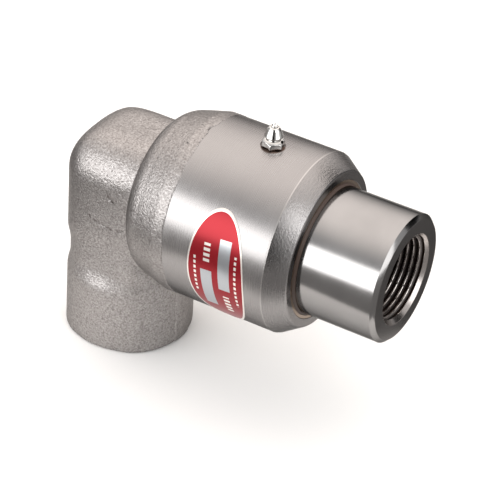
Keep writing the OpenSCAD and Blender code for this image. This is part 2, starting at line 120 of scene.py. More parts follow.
# Grease nipple and name plate. The check ball's travel is taken with a little room
NIPPLE_X = 56.525
NIPPLE_Z = 97.6
NIPPLE_HOLE_R = 3.03
SPOT_FACE_R = 4.55
SPRING_LOW = 98.78
SPRING_HIGH = 103.5975
PLATE_X = 55.925

# Pipe thread: 11 threads to the inch, 55 degrees, taper 1 in 16 on the diameter
PITCH = 2.3091
THREAD_H = 1.45
THREAD_ROOT_R = 16.6
THREAD_LEN = 20.5
THREAD_FACE_R = THREAD_ROOT_R + 0.62
THREAD_UNDERCUT_R = THREAD_ROOT_R - 0.7


# Mesh helpers

def ramp(t):
    """A smooth step from 0 to 1."""
    t = np.clip(t, 0, 1)
    return t * t * (3 - 2 * t)


def new_object(name, corners, faces):
    """An object from corners in metres."""
    mesh = bpy.data.meshes.new(name)
    mesh.from_pydata(corners, [], faces)
    mesh.update()
    obj = bpy.data.objects.new(name, mesh)
    bpy.context.scene.collection.objects.link(obj)
    return obj


def smooth(mesh, sharp=None):
    """Shades a mesh smooth, but for edges that turn by more than sharp degrees."""
    mesh.polygons.foreach_set("use_smooth", [True] * len(mesh.polygons))
    if sharp:
        mesh.set_sharp_from_angle(angle=math.radians(sharp))


def mesh_piece(name, corners, faces, body, material, sharp=None):
    """A piece from corners in millimetres, riding on a body."""
    faces = faces.tolist() if isinstance(faces, np.ndarray) else faces
    obj = new_object(name, (np.asarray(corners) * MM).tolist(), faces)
    smooth(obj.data, sharp)
    obj.data.materials.append(material)
    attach(obj, body)
    return obj


def turned(profile, count, closed=True):
    """Corners and faces of a profile turned about X at the swivel axis. Each entry is
    (x, r), where x and r may change round the axis."""
    angles = np.arange(count) * 2 * np.pi / count
    rings = []
    for x, r in profile:
        x = np.broadcast_to(np.asarray(x, float), count)
        r = np.broadcast_to(np.asarray(r, float), count)
        rings.append(np.stack([x, r * np.sin(angles), AXIS_H + r * np.cos(angles)], 1))
    corners = np.concatenate(rings)
    rows = len(profile)
    last = rows if closed else rows - 1
    i, k = np.meshgrid(np.arange(last), np.arange(count), indexing="ij")
    j, m = (i + 1) % rows, (k + 1) % count
    faces = np.stack([i * count + k, i * count + m, j * count + m, j * count + k], -1)
    return corners, faces.reshape(-1, 4)


def tube_faces(rings, count):
    """Faces between rings of count corners each, one ring after the other."""
    i, k = np.meshgrid(np.arange(rings - 1), np.arange(count), indexing="ij")
    m = (k + 1) % count
    faces = np.stack([i * count + k, i * count + m, (i + 1) * count + m, (i + 1) * count + k], -1)
    return faces.reshape(-1, 4)


def to_port(corners):
    """Moves what was turned about the swivel axis onto the elbow port's axis, pointing down."""
    x, y, z = corners.T
    return np.stack([-(z - AXIS_H), y, -x], 1)


def arc(x, r, radius, start, end, count):
    """Points of an arc in a profile, with angles in degrees from the axis direction."""
    for t in np.radians(np.linspace(start, end, count)):
        yield x + radius * math.cos(t), r + radius * math.sin(t)


def race(row, start, end):
    """A ball race in a profile, between two angles in degrees."""
    return arc(row, RACE_CENTRE_R, RACE_R, start, end, 17)


def thread_rings(mouth_x, count):
    """Profile rings of a tapered thread from its mouth inwards, each ring a helix step,
    and how high each of their corners lies between groove and crest."""
    steps_in_pitch = 17
    root_flat, flank = 0.17, 0.66
    taper = 1 / 32
    mouth_room = 0.55
    turn = np.arange(count) / count
    rings, heights = [], []
    for d in np.arange(0, THREAD_LEN + PITCH * 1.5, PITCH / steps_in_pitch):
        phase = (d / PITCH - turn) % 1
        wave = np.abs(2 * phase - 1)
        ridge = np.clip((wave - root_flat) / flank, 0, 1)
        ridge = 0.6 * ridge + 0.4 * ramp(ridge)
        fade = np.clip((THREAD_LEN - d + PITCH * turn) / PITCH, 0, 1)
        root = THREAD_ROOT_R - min(d, THREAD_LEN) * taper
        r = root - THREAD_H * ridge * fade
        funnel = THREAD_ROOT_R + mouth_room - d
        rings.append((mouth_x - d, np.maximum(r, funnel)))
        heights.append(np.where(r < funnel, 1.0, np.maximum(ridge * fade, 1 - fade)))
    return rings, heights


def keep_values(piece, name, values, second=None):
    """Keeps one or two values for each of a piece's corners as a UV map, for its material."""
    second = np.zeros(len(values)) if second is None else second
    corner = np.empty(len(piece.data.loops), int)
    piece.data.loops.foreach_get("vertex_index", corner)
    layer = piece.data.uv_layers.new(name=name)
    layer.data.foreach_set("uv", np.stack([values, second], 1)[corner].ravel())


def keep_heights(piece, heights, count):
    """Keeps the heights of a thread's corners, ring by ring."""
    rings = [np.broadcast_to(np.asarray(h, float), count) for h in heights]
    keep_values(piece, "thread_height", np.concatenate(rings))


def surface_net(field, low, high, step):
    """Mesh of the surface where field is zero: one corner in each grid cell that it
    crosses, then moved onto the surface."""
    axes = [np.arange(a, b + step, step) for a, b in zip(low, high)]
    grid = field(*np.meshgrid(*axes, indexing="ij", sparse=True))
    inside = grid < 0
    corner_sum = np.zeros([n - 1 for n in inside.shape], np.int8)
    for cut in np.ndindex(2, 2, 2):
        corner_sum += inside[tuple(slice(c, c + n) for c, n in zip(cut, corner_sum.shape))]
    cells = (corner_sum > 0) & (corner_sum < 8)
    index = np.full(cells.shape, -1)
    index[cells] = np.arange(cells.sum())
    points = np.argwhere(cells) * step + np.asarray(low) + step / 2
    for _ in range(5):
        points -= slope_step(field, points)
    faces = []
    for axis in range(3):
        first = np.take(inside, np.arange(inside.shape[axis] - 1), axis)
        second = np.take(inside, np.arange(1, inside.shape[axis]), axis)
        edges = np.argwhere(first != second)
        starts_in = first[first != second]
        u, v = np.eye(3, dtype=int)[(axis + 1) % 3], np.eye(3, dtype=int)[(axis + 2) % 3]
        quad = [edges, edges - u, edges - u - v, edges - v]
        quad = np.stack([index[tuple(q.T)] for q in quad], 1)
        quad[~starts_in] = quad[~starts_in, ::-1]
        faces.append(quad)
    return points, np.concatenate(faces)


def slope_step(field, points):
    """Step that takes each point to the field's zero along its slope."""
    reach, least, longest = 0.05, 0.05, 0.5
    value = field(*points.T)
    slope = np.stack([
        (field(*(points + shift).T) - field(*(points - shift).T)) / (2 * reach)
        for shift in np.eye(3) * reach
    ], 1)
    size = np.maximum((slope * slope).sum(1), least)
    return np.clip((value / size)[:, None] * slope, -longest, longest)


# The casting as a distance field

def round_join(a, b, r):
    """Joins two fields, with a fillet of radius r between them."""
    return np.maximum(r, np.minimum(a, b)) - np.hypot(np.maximum(r - a, 0), np.maximum(r - b, 0))


def round_cut(a, b, r):
    """Keeps what two fields share, with an edge rounded by radius r."""
    return np.minimum(-r, np.maximum(a, b)) + np.hypot(np.maximum(r + a, 0), np.maximum(r + b, 0))


# Waves of the cast surface: direction, phase and length
WAVES = [
    (rng.normal(size=3), rng.uniform(0, 6.28), length)
    for length in (26, 21, 17, 14, 12, 10, 8, 7, 6, 5)
]


def unevenness(x, y, z):
    """Gentle unevenness of a cast surface, a few hundredths of a millimetre."""
    steepness = 0.0003
    total = 0
    for way, phase, length in WAVES:
        way = way / np.linalg.norm(way) * 2 * np.pi / length
        total = total + length * np.sin(way[0] * x + way[1] * y + way[2] * z + phase)
    return total * steepness


# Nicks and scratches in the cast skin: two ends and half width
MARKS = [
    ((-16.2, -22.2, 60.0), (-13.4, -22.4, 58.6), 0.62),
    ((-8.3, -22.5, 58.0), (-4.6, -22.5, 56.0), 0.6),
    ((-2.5, -22.5, 55.2), (4.5, -22.5, 54.0), 0.46),
    ((3.0, -22.5, 67.6), (5.0, -22.5, 65.8), 0.6),
    ((7.4, -22.5, 54.2), (9.4, -22.5, 55.2), 0.5),
]


def from_mark(x, y, z, start, end):
    """How far points lie from a nick, and where along it."""
    way = np.subtract(end, start)
    from_start = (x - start[0], y - start[1], z - start[2])
    t = np.clip(sum(f * w for f, w in zip(from_start, way)) / (way @ way), 0, 1)
    return np.sqrt(sum((f - t * w) ** 2 for f, w in zip(from_start, way))), t


def skin_edge(y, up):
    """Where the cast skin ends on the barrel: wavy, and with one notch near the top."""
    a = np.arctan2(-y, up)
    wander = 0.22 * np.sin(3 * a + 1) + 0.16 * np.sin(7 * a + 2) + 0.1 * np.sin(17 * a)
    notch = 1.6 * np.exp(-((a - 0.10) / 0.06) ** 2)
    return SKIN_END - 0.55 + 0.35 * np.abs(np.sin(a / 2)) + wander - notch


def casting_outside(x, y, z):
    """The casting's outside: two rounded square legs, a round port band and the dome."""
    leg_edge, level_edge, top_edge, back_edge, corner_r = 17, 14, 17.5, 18, 24.2
    seam_edge, leg_fillet, port_fillet, dome_fillet = 3, 5, 2.4, 1.6
    port_top, port_edge, dome_back, dome_edge = 33.5, 9, 12.8, 9.5
    bottom, bottom_edge, mark_edge = 0.3, 0.5, 0.15
    up = z - AXIS_H
    side = np.abs(y) - BLOCK_HALF
    leg = round_cut(np.abs(x) - BLOCK_BACK, side, leg_edge)
    level = np.maximum(round_cut(side, -up - BLOCK_TOP, level_edge), -x - BLOCK_BACK)
    body = round_join(leg, level, leg_fillet)
    body = round_cut(body, round_cut(side, up - BLOCK_TOP, top_edge), seam_edge)
    body = round_cut(body, round_cut(-x - BLOCK_BACK, up - BLOCK_TOP, back_edge), seam_edge)
    corner = np.where(x < 0, np.hypot(x, y), np.abs(y)) - corner_r
    body = round_cut(body, round_cut(corner, up - BLOCK_TOP, back_edge), seam_edge)
    port = round_cut(np.hypot(x, y) - PORT_R, z - port_top, port_edge)
    # A strip stands out a little on the port's side under the barrel
    strip_height, strip_half, strip_top = 0.3, 4.9, 31
    strip = ramp((strip_half - np.abs(y)) / 0.5) * ramp(x / 10) * ramp((strip_top - z) / 6)
    body = round_join(body, port, port_fillet) - strip_height * strip
    # The dome widens gently to the cast skin's edge, and drops under the barrel there
    top = np.clip(32.3 + 0.27 * (x - 22), 32, SKIN_R)
    top = top - 1.6 * ramp((x - skin_edge(y, up)) / 1.1)
    dome = round_cut(np.hypot(y, up) - top, dome_back - x, dome_edge)
    # A shallow valley where legs and dome meet
    valley = 0.6 * np.exp(-(body * body + dome * dome) / 6)
    whole = round_join(body, dome, dome_fillet) + valley + unevenness(x, y, z)
    for start, end, half in MARKS:
        gap, t = from_mark(x, y, z, start, end)
        whole = round_cut(whole, half * (0.7 + 0.5 * np.sin(3.1 * t)) - gap, mark_edge)
    return round_cut(whole, bottom - z, bottom_edge)


def casting(x, y, z):
    """The casting with its passages, and with room for the machined pieces."""
    up = z - AXIS_H
    level_r = np.hypot(y, up)
    upright_r = np.hypot(x, y)
    hollow = np.hypot(upright_r, up) - FLOW_R
    for wall, end in (
        (upright_r - FLOW_R, up),
        (level_r - FLOW_R, -x),
        (upright_r - PORT_ROOM_R, z - PORT_ROOM_TOP),
        (level_r - BUSH_SEAT_R, BUSH_SEAT_X - x),
        (level_r - HOUSING_ROOM_R, HOUSING_ROOM_X - x),
    ):
        hollow = np.minimum(hollow, np.maximum(wall, end))
    solid = np.maximum(casting_outside(x, y, z), x - CASTING_END)
    return np.maximum(solid, -hollow)


# Materials

def linear(code):
    """An sRGB hex colour as a linear RGBA colour."""
    parts = [int(code[i:i + 2], 16) / 255 for i in (1, 3, 5)]
    return [p / 12.92 if p <= 0.04045 else ((p + 0.055) / 1.055) ** 2.4 for p in parts] + [1]


def add(tree, kind, settings=None, inputs=None):
    """Adds a shader node, with its settings, and with values or links on its inputs."""
    item = tree.nodes.new(kind)
    for key, value in (settings or {}).items():
        setattr(item, key, value)
    for key, value in (inputs or {}).items():
        if isinstance(value, bpy.types.NodeSocket):
            tree.links.new(value, item.inputs[key])
        else:
            item.inputs[key].default_value = value
    return item


def new_material(name):
    """A material with its tree, its main shader and its place on the object."""
    material = bpy.data.materials.new(name)
    material.use_nodes = True
    tree = material.node_tree
    shader = tree.nodes["Principled BSDF"]
    place = add(tree, "ShaderNodeTexCoord").outputs["Object"]
    return material, tree, shader, place


def settle(shader, **values):
    """Sets constant values on the shader's own sockets."""
    for key, value in values.items():
        shader.inputs[key.replace("_", " ")].default_value = value


def noise(tree, place, size_mm, detail=2.0, rough=0.5):
    """Noise whose blobs are about size_mm across."""
    return add(tree, "ShaderNodeTexNoise", None, {
        "Vector": place, "Scale": 1000 / size_mm, "Detail": detail, "Roughness": rough,
    }).outputs["Fac"]


def mapped(tree, value, low, high, to_low, to_high):
    """A value from one range taken to another."""
    return add(tree, "ShaderNodeMapRange", None, {
        0: value, 1: low, 2: high, 3: to_low, 4: to_high,
    }).outputs[0]


def bump(tree, shader, layers):
    """Bump layers of (height, depth in mm), one on top of the other."""
    last = None
    for height, depth in layers:
        inputs = {"Height": height, "Distance": depth * MM, "Strength": 1.0}
        if last:
            inputs["Normal"] = last
        last = add(tree, "ShaderNodeBump", None, inputs).outputs[0]
    tree.links.new(last, shader.inputs["Normal"])


def tint(tree, shader, value, dark, light, low=0.0, high=1.0):
    """Mixes two hex colours by a value into the shader's colour."""
    factor = mapped(tree, value, low, high, 0, 1)
    mix = add(tree, "ShaderNodeMix", {"data_type": "RGBA"}, {0: factor})
    mix.inputs[6].default_value = linear(dark)
    mix.inputs[7].default_value = linear(light)
    tree.links.new(mix.outputs[2], shader.inputs["Base Color"])


def paint_over(tree, shader, factor, colour):
    """Covers the shader's colour with a hex colour by a factor."""
    below = shader.inputs["Base Color"].links[0].from_socket
    mix = add(tree, "ShaderNodeMix", {"data_type": "RGBA"}, {0: factor, 6: below})
    mix.inputs[7].default_value = linear(colour)
    tree.links.new(mix.outputs[2], shader.inputs["Base Color"])


def sandblasted_stainless():
    # Cast stainless steel, blasted with grit. The eye gets a dull warm grey with a fine
    # sparkle, darker dots where the cast skin has pits, and painted shade, dark brown, in its
    # nicks.
    # The grit's dents are about 0.3 mm wide, and are drawn 0.7 mm wide so that they show
    material, tree, shader, place = new_material("sandblasted_cast_stainless")
    grain = noise(tree, place, 0.7, 3.0, 0.6)
    lumps = noise(tree, place, 2.4, 2.0)
    pits = add(tree, "ShaderNodeTexVoronoi", None, {"Vector": place, "Scale": 1000 / 1.9})
    pit = mapped(tree, pits.outputs["Distance"], 0.05, 0.32, 0, 1)
    settle(shader, Metallic=1.0, Roughness=0.37, Specular_Tint=linear("#B0B0B0"))
    tint(tree, shader, grain, "#827D7B", "#BAB6B4", 0.3, 0.7)
    # Painted shade: the nicks are painted dark brown, by the share kept for each corner
    uv = add(tree, "ShaderNodeUVMap", {"uv_map": "nick_dirt"}).outputs[0]
    nick_shade = add(tree, "ShaderNodeSeparateXYZ", None, {0: uv}).outputs[0]
    paint_over(tree, shader, nick_shade, "#3E332D")
    bump(tree, shader, [(lumps, 0.13), (grain, 0.23), (pit, 0.06)])
    return material


def turned_steel(name, dark, light, rough, across, feed_mm, ring_depth_mm, clouds_mm):
    """Turned metal: fine rings round the axis, one for each step of the lathe's feed,
    which spread a reflection along it."""
    material, tree, shader, place = new_material(name)
    x = add(tree, "ShaderNodeSeparateXYZ", None, {0: place}).outputs[0]
    rings = add(tree, "ShaderNodeTexNoise", {"noise_dimensions": "1D"}, {
        "W": x, "Scale": 1000 / feed_mm, "Detail": 3.0, "Roughness": 0.7,
    }).outputs["Fac"]
    clouds = noise(tree, place, clouds_mm, 3.0)
    settle(shader, Metallic=1.0, Anisotropic=across, Specular_Tint=linear("#909090"))
    tangent = add(tree, "ShaderNodeTangent", {"direction_type": "RADIAL", "axis": "X"})
    tree.links.new(tangent.outputs[0], shader.inputs["Tangent"])
    both = add(tree, "ShaderNodeMath", {"operation": "ADD"}, {0: rings, 1: clouds}).outputs[0]
    tint(tree, shader, both, dark, light, 0.7, 1.3)
    uneven = mapped(tree, both, 0.7, 1.3, rough * 0.86, rough * 1.14)
    tree.links.new(uneven, shader.inputs["Roughness"])
    bump(tree, shader, [(rings, ring_depth_mm)])
    return material


def painted_nipple_shade(material, middle, radius):
    """Paints shade on a material: a dark brown painted contact shadow and painted
    reflection of the nipple within a radius of a point, in millimetres."""
    tree = material.node_tree
    shader = tree.nodes["Principled BSDF"]
    place = add(tree, "ShaderNodeTexCoord").outputs["Object"]
    away = add(tree, "ShaderNodeVectorMath", {"operation": "DISTANCE"}, {
        0: place, 1: [c * MM for c in middle],
    }).outputs["Value"]
    shade_share = mapped(tree, away, radius * MM, radius * 0.9 * MM, 0, 0.92)
    paint_over(tree, shader, shade_share, "#55463E")


def rough_beyond_and_painted_highlight(material, start, end):
    """Gives turned metal a painted highlight, a light grey ring, at a place along the axis,
    and coarse specks and tears from there to another place, all in millimetres."""
    tree = material.node_tree
    shader = tree.nodes["Principled BSDF"]
    place = add(tree, "ShaderNodeTexCoord").outputs["Object"]
    x = add(tree, "ShaderNodeSeparateXYZ", None, {0: place}).outputs[0]
    beyond = add(tree, "ShaderNodeMath", {"operation": "MULTIPLY"}, {
        0: mapped(tree, x, start * MM, (start + 0.3) * MM, 0, 1),
        1: mapped(tree, x, (end - 0.4) * MM, end * MM, 1, 0),
    }).outputs[0]
    height = add(tree, "ShaderNodeMath", {"operation": "MULTIPLY"}, {
        0: beyond, 1: noise(tree, place, 0.8, 3.0, 0.65),
    }).outputs[0]
    turned_marks = shader.inputs["Normal"].links[0].from_socket
    normal = add(tree, "ShaderNodeBump", None, {
        "Height": height, "Distance": 0.11 * MM, "Strength": 1.0, "Normal": turned_marks,
    }).outputs[0]
    tree.links.new(normal, shader.inputs["Normal"])
    # Painted highlight: a thin ring at the edge is painted light grey
    edge_highlight = add(tree, "ShaderNodeMath", {"operation": "COMPARE"}, {
        0: x, 1: start * MM, 2: 0.2 * MM,
    }).outputs[0]
    paint_over(tree, shader, edge_highlight, "#B5B2B0")


def cut_thread():
    # A thread cut in stainless steel. The eye gets bright crests, and grooves painted dark
    # brown: painted shade in the grooves, with the brown of old cutting oil
    material, tree, shader, place = new_material("cut_thread_stainless")
    uv = add(tree, "ShaderNodeUVMap", {"uv_map": "thread_height"}).outputs[0]
    height = add(tree, "ShaderNodeSeparateXYZ", None, {0: uv}).outputs[0]
    settle(shader, Metallic=1.0, Specular_Tint=linear("#B0B0B0"))
    # Painted shade: the deeper a corner lies in a groove, the darker brown it is painted
    tint(tree, shader, height, "#2C201B", "#C4BDB9", 0.15, 0.6)
    tree.links.new(mapped(tree, height, 0.15, 0.8, 0.5, 0.24), shader.inputs["Roughness"])
    bump(tree, shader, [(noise(tree, place, 0.5, 2.0), 0.006)])
    return material


def plain_metal(name, colour, rough, grain_mm=0.5, depth_mm=0.004):
    """Metal of one colour with a faint unevenness."""
    material, tree, shader, place = new_material(name)
    settle(shader, Metallic=1.0, Base_Color=linear(colour), Roughness=rough)
    bump(tree, shader, [(noise(tree, place, grain_mm, 2.0), depth_mm)])
    return material


def rubber(name, colour):
    """Moulded rubber with a matt grain of 0.4 mm."""
    material, tree, shader, place = new_material(name)
    settle(shader, Base_Color=linear(colour), Roughness=0.55)
    bump(tree, shader, [(noise(tree, place, 0.4, 2.0), 0.01)])
    return material


def printed_foil():
    # Printed metal foil. The eye gets a glossy red print with a pale rim, two bare silver
    # fields and rows of short white marks. Places on it are shares of its half sizes
    material, tree, shader, _ = new_material("printed_foil")
    uv = add(tree, "ShaderNodeUVMap", {"uv_map": "plate"}).outputs[0]
    split = add(tree, "ShaderNodeSeparateXYZ", None, {0: uv})
    u, v = split.outputs[0], split.outputs[1]

    def maths(kind, a, b=0.0, c=0.0):
        return add(tree, "ShaderNodeMath", {"operation": kind}, {0: a, 1: b, 2: c}).outputs[0]

    def fields(*places):
        total = None
        for u0, u1, v0, v1 in places:
            across = maths("COMPARE", u, (u0 + u1) / 2, (u1 - u0) / 2)
            along = maths("COMPARE", v, (v0 + v1) / 2, (v1 - v0) / 2)
            both = maths("MULTIPLY", across, along)
            total = maths("MAXIMUM", total, both) if total else both
        return total

    rim_start, dashes_in_half, gap_share = 0.955, 13.0, 0.42
    silver = fields((-0.52, -0.12, -0.10, 0.56), (0.10, 0.50, -0.60, 0.16))
    rows = fields(
        (-0.42, -0.20, -0.50, -0.22), (0.20, 0.42, 0.28, 0.62),
        (0.66, 0.74, -0.42, 0.42), (-0.76, -0.68, -0.30, 0.34),
    )
    reach = maths("SQRT", maths("ADD", maths("MULTIPLY", u, u), maths("MULTIPLY", v, v)))
    rim = maths("GREATER_THAN", reach, rim_start)
    step = maths("FRACT", maths("MULTIPLY", v, dashes_in_half))
    white = maths("MAXIMUM", rim, maths("MULTIPLY", rows, maths("GREATER_THAN", step, gap_share)))
    tint(tree, shader, silver, "#940A1A", "#B4B7BB")
    paint_over(tree, shader, white, "#EFE9E2")
    tree.links.new(mapped(tree, silver, 0, 1, 0.6, 0.95), shader.inputs["Metallic"])
    settle(shader, Roughness=0.28, Specular_IOR_Level=0.7)
    return material


CASTING = sandblasted_stainless()
# Turned stainless steel. The eye gets a satin band of light with fine rings
BARREL = turned_steel(
    "satin_turned_stainless", "#999695", "#A29F9E", rough=0.27, across=0.5,
    feed_mm=0.22, ring_depth_mm=0.0011, clouds_mm=14,
)
# A painted shadow and painted reflection of the nipple: a dark brown disc round its foot, set a
# little to the front, towards the camera
painted_nipple_shade(BARREL, (NIPPLE_X + 0.31, -0.57, NIPPLE_Z + 0.6), 4.65)
# A painted highlight along the edge between barrel and cone, and coarse specks on the cone
rough_beyond_and_painted_highlight(BARREL, CONE_X, NOSE_X - 0.025)
# Finely turned stainless steel. The eye gets sharper reflections than on the barrel
SLEEVE = turned_steel(
    "fine_turned_stainless", "#999796", "#A3A1A0", rough=0.15, across=0.6,
    feed_mm=0.16, ring_depth_mm=0.0012, clouds_mm=12,
)
THREAD = cut_thread()
# Bright plating. The eye gets a mirror that shows dark and white patches
PLATED = plain_metal("bright_plated_steel", "#D9D7D4", 0.07, grain_mm=1.2, depth_mm=0.003)
# Ground and polished balls. The eye gets small sharp lights
BALL = plain_metal("polished_bearing_steel", "#C6C7C9", 0.08)
# Blackened steel. The eye gets a dull dark grey
PLUG = plain_metal("blackened_plug_steel", "#7C7A78", 0.4)
# Drawn wire. The eye gets a bluish satin
SPRING = plain_metal("spring_steel_wire", "#8B8E92", 0.3)
# Cast bearing bronze, turned. The eye gets a dull gold
BRONZE = plain_metal("bearing_bronze", "#B08A4E", 0.35)
# Pressed sheet steel with old grease on it. The eye gets a brown satin ring
SEAL_CASE = plain_metal("seal_case_steel", "#948373", 0.4)
# Moulded rubbers. The eye gets a matt near-black and a matt brown
PACKING = rubber("fabric_packing_rubber", "#2E2A26")
SEAL = rubber("nitrile_seal_rubber", "#4A3A32")
FOIL = printed_foil()

NODE_MATERIALS = {
    "rear_balls": BALL, "front_balls": BALL, "nipple_check_ball": BALL,
    "rear_ball_plug": PLUG, "front_ball_plug": PLUG, "spring_seat": PLUG,
    "retainer_washer": PLUG, "wave_spring": SPRING, "retainer_snap_ring": SPRING,
    "tail_bush": BRONZE, "header_ring": PACKING, "v_ring_1": PACKING,
    "v_ring_2": PACKING, "v_ring_3": PACKING, "footer_ring": PACKING,
    "grease_o_ring": SEAL, "nose_seal_lip": SEAL, "nose_seal_case": SEAL_CASE,
}
for name, material in NODE_MATERIALS.items():
    node = frame["nodes"][name]
    node.data.materials.clear()
    node.data.materials.append(material)


# The casting: the cells of its net are finer than its nicks are wide
NET_STEP = 0.62
points, quads = surface_net(casting, (-25.2, -35.4, -1.0), (36.6, 35.4, 99.4), NET_STEP)
casting_piece = mesh_piece("elbow_casting", points, quads, "housing", CASTING)
# How much painted shade each corner of the casting gets in its nicks
nick_shade = np.zeros(len(points))
for start, end, half in MARKS:
    gap, _ = from_mark(*points.T, start, end)
    nick_shade = np.maximum(nick_shade, np.clip((half + 0.15 - gap) / 0.35, 0, 1))
keep_values(casting_piece, "nick_dirt", nick_shade * 0.85)


def cut_away(piece, low, high, radius, count=64):
    """Cuts a round hole between two points, in millimetres, out of a piece."""
    low, high = Vector(low), Vector(high)
    turn = Vector((0, 0, 1)).rotation_difference((high - low).normalized())
    place = Matrix.Translation(low) @ turn.to_matrix().to_4x4()
    corners = []
    for z in (0, (high - low).length):
        for a in (2 * math.pi * t / count for t in range(count)):
            corner = place @ Vector((radius * math.cos(a), radius * math.sin(a), z))
            corners.append([c * MM for c in corner])
    faces = [list(range(count))[::-1], list(range(count, 2 * count))]
    faces += [[i, (i + 1) % count, (i + 1) % count + count, i + count] for i in range(count)]
    cutter = new_object("cutter", corners, faces)
    step = piece.modifiers.new("cut", "BOOLEAN")
    step.operation = "DIFFERENCE"
    step.solver = "EXACT"
    step.object = cutter
    bpy.context.view_layer.update()
    shaped = piece.evaluated_get(bpy.context.evaluated_depsgraph_get())
    result = bpy.data.meshes.new_from_object(shaped)
    piece.modifiers.remove(step)
    piece.data = result
    bpy.data.objects.remove(cutter)


# The machined housing: bore and races from the back to the nose, then the barrel back
housing_profile = [
    (HOUSING_X, HOUSING_WALL_R), (HOUSING_X, BUSH_SEAT_R), (CHAMBER_X[0], BUSH_SEAT_R),
    (CHAMBER_X[0], CHAMBER_R), (SNAP_GROOVE_X[0], CHAMBER_R),
    (SNAP_GROOVE_X[0], SNAP_GROOVE_R), (SNAP_GROOVE_X[1], SNAP_GROOVE_R),
    (SNAP_GROOVE_X[1], CHAMBER_R), (CHAMBER_X[1], CHAMBER_R), (CHAMBER_X[1], BORE_R),
    *race(ROWS[0], 179.6, 0.4),
    (GREASE_GROOVE_X[0], BORE_R), (GREASE_GROOVE_X[0], GREASE_GROOVE_R),
    (GREASE_GROOVE_X[1], GREASE_GROOVE_R), (GREASE_GROOVE_X[1], BORE_R),
    *race(ROWS[1], 179.6, 0.4),
    (SEAL_SEAT_X, BORE_R), (SEAL_SEAT_X, SEAL_SEAT_R),
    (NOSE_X - 0.15, SEAL_SEAT_R), (NOSE_X, SEAL_SEAT_R + 0.15),
    *arc(NOSE_X - NOSE_EDGE, NOSE_R - 0.65, NOSE_EDGE, 0, 56.8, 8),
    (CONE_X + 0.3, BARREL_R - 0.19), (CONE_X - 0.3, BARREL_R), (BARREL_X, BARREL_R),
    (BARREL_X, HOUSING_WALL_R),
]
HOUSING_COUNT = 320
corners, faces = turned(housing_profile, HOUSING_COUNT)
housing = mesh_piece("machined_housing", corners, faces, "housing", BARREL)
cut_away(housing, (NIPPLE_X, 0, NIPPLE_Z), (NIPPLE_X, 0, 104), SPOT_FACE_R, 96)
cut_away(housing, (NIPPLE_X, 0, 86), (NIPPLE_X, 0, 99), NIPPLE_HOLE_R)
for row in ROWS:
    cut_away(housing, (row, 22, AXIS_H), (row, 40, AXIS_H), PLUG_HOLE_R)
smooth(housing.data, 24)

# The elbow port: thread, bottom of its bore, room in the casting and end face
PORT_COUNT = 240
port_profile, port_heights = thread_rings(0.0, PORT_COUNT)
port_rest = [
    (-23.2, THREAD_UNDERCUT_R), (-24.7, FLOW_R + 1.4), (-24.7, 19.9), (-0.7, 19.9),
    (-0.7, 23.3), (-0.25, 23.3), (0.0, 23.0), (0.0, THREAD_ROOT_R + 0.7),
]
corners, faces = turned(port_profile + port_rest, PORT_COUNT)
port_piece = mesh_piece(
    "threaded_port", to_port(corners), faces, "housing", THREAD, sharp=38
)
keep_heights(port_piece, port_heights + [1] * len(port_rest), PORT_COUNT)
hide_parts("elbow_body")
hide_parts("elbow_body")
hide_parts("elbow_body")

# The sleeve: from its tail over the O-ring's groove and the races to the mouth's face,
# and a second piece with the thread from the face inwards
SLEEVE_COUNT = 320
sleeve_profile = [
    (TAIL_X, FLOW_R), (TAIL_X, TAIL_R - 0.8), (TAIL_X + 0.8, TAIL_R), (TAIL_END, TAIL_R),
    (TAIL_END, SLEEVE_R - 0.2), (TAIL_END + 0.2, SLEEVE_R),
    (O_RING_GROOVE_X[0], SLEEVE_R), (O_RING_GROOVE_X[0], O_RING_GROOVE_R),
    (O_RING_GROOVE_X[1], O_RING_GROOVE_R), (O_RING_GROOVE_X[1], SLEEVE_R),
    *race(ROWS[0], 180.5, 359.5), *race(ROWS[1], 180.5, 359.5),
    (MOUTH_X - MOUTH_CHAMFER, SLEEVE_R), (MOUTH_X - 0.06, 22.58), (MOUTH_X, 22.45),
    (MOUTH_X, THREAD_FACE_R),
]
corners, faces = turned(sleeve_profile, SLEEVE_COUNT, closed=False)
sleeve = mesh_piece(
    "sleeve_outside", corners, faces, "sleeve", SLEEVE, sharp=24
)
thread_profile, bore_heights = thread_rings(MOUTH_X, SLEEVE_COUNT)
bore_rest = [(MOUTH_X - 24.6, THREAD_UNDERCUT_R), (MOUTH_X - 26.6, FLOW_R), (TAIL_X, FLOW_R)]
corners, faces = turned(
    [(MOUTH_X, THREAD_FACE_R)] + thread_profile + bore_rest, SLEEVE_COUNT, closed=False
)
bore_piece = mesh_piece(
    "sleeve_bore", corners, faces, "sleeve", THREAD, sharp=50
)
keep_heights(bore_piece, [1] + bore_heights + [1] * len(bore_rest), SLEEVE_COUNT)
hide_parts("swivel_sleeve")
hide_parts("swivel_sleeve")


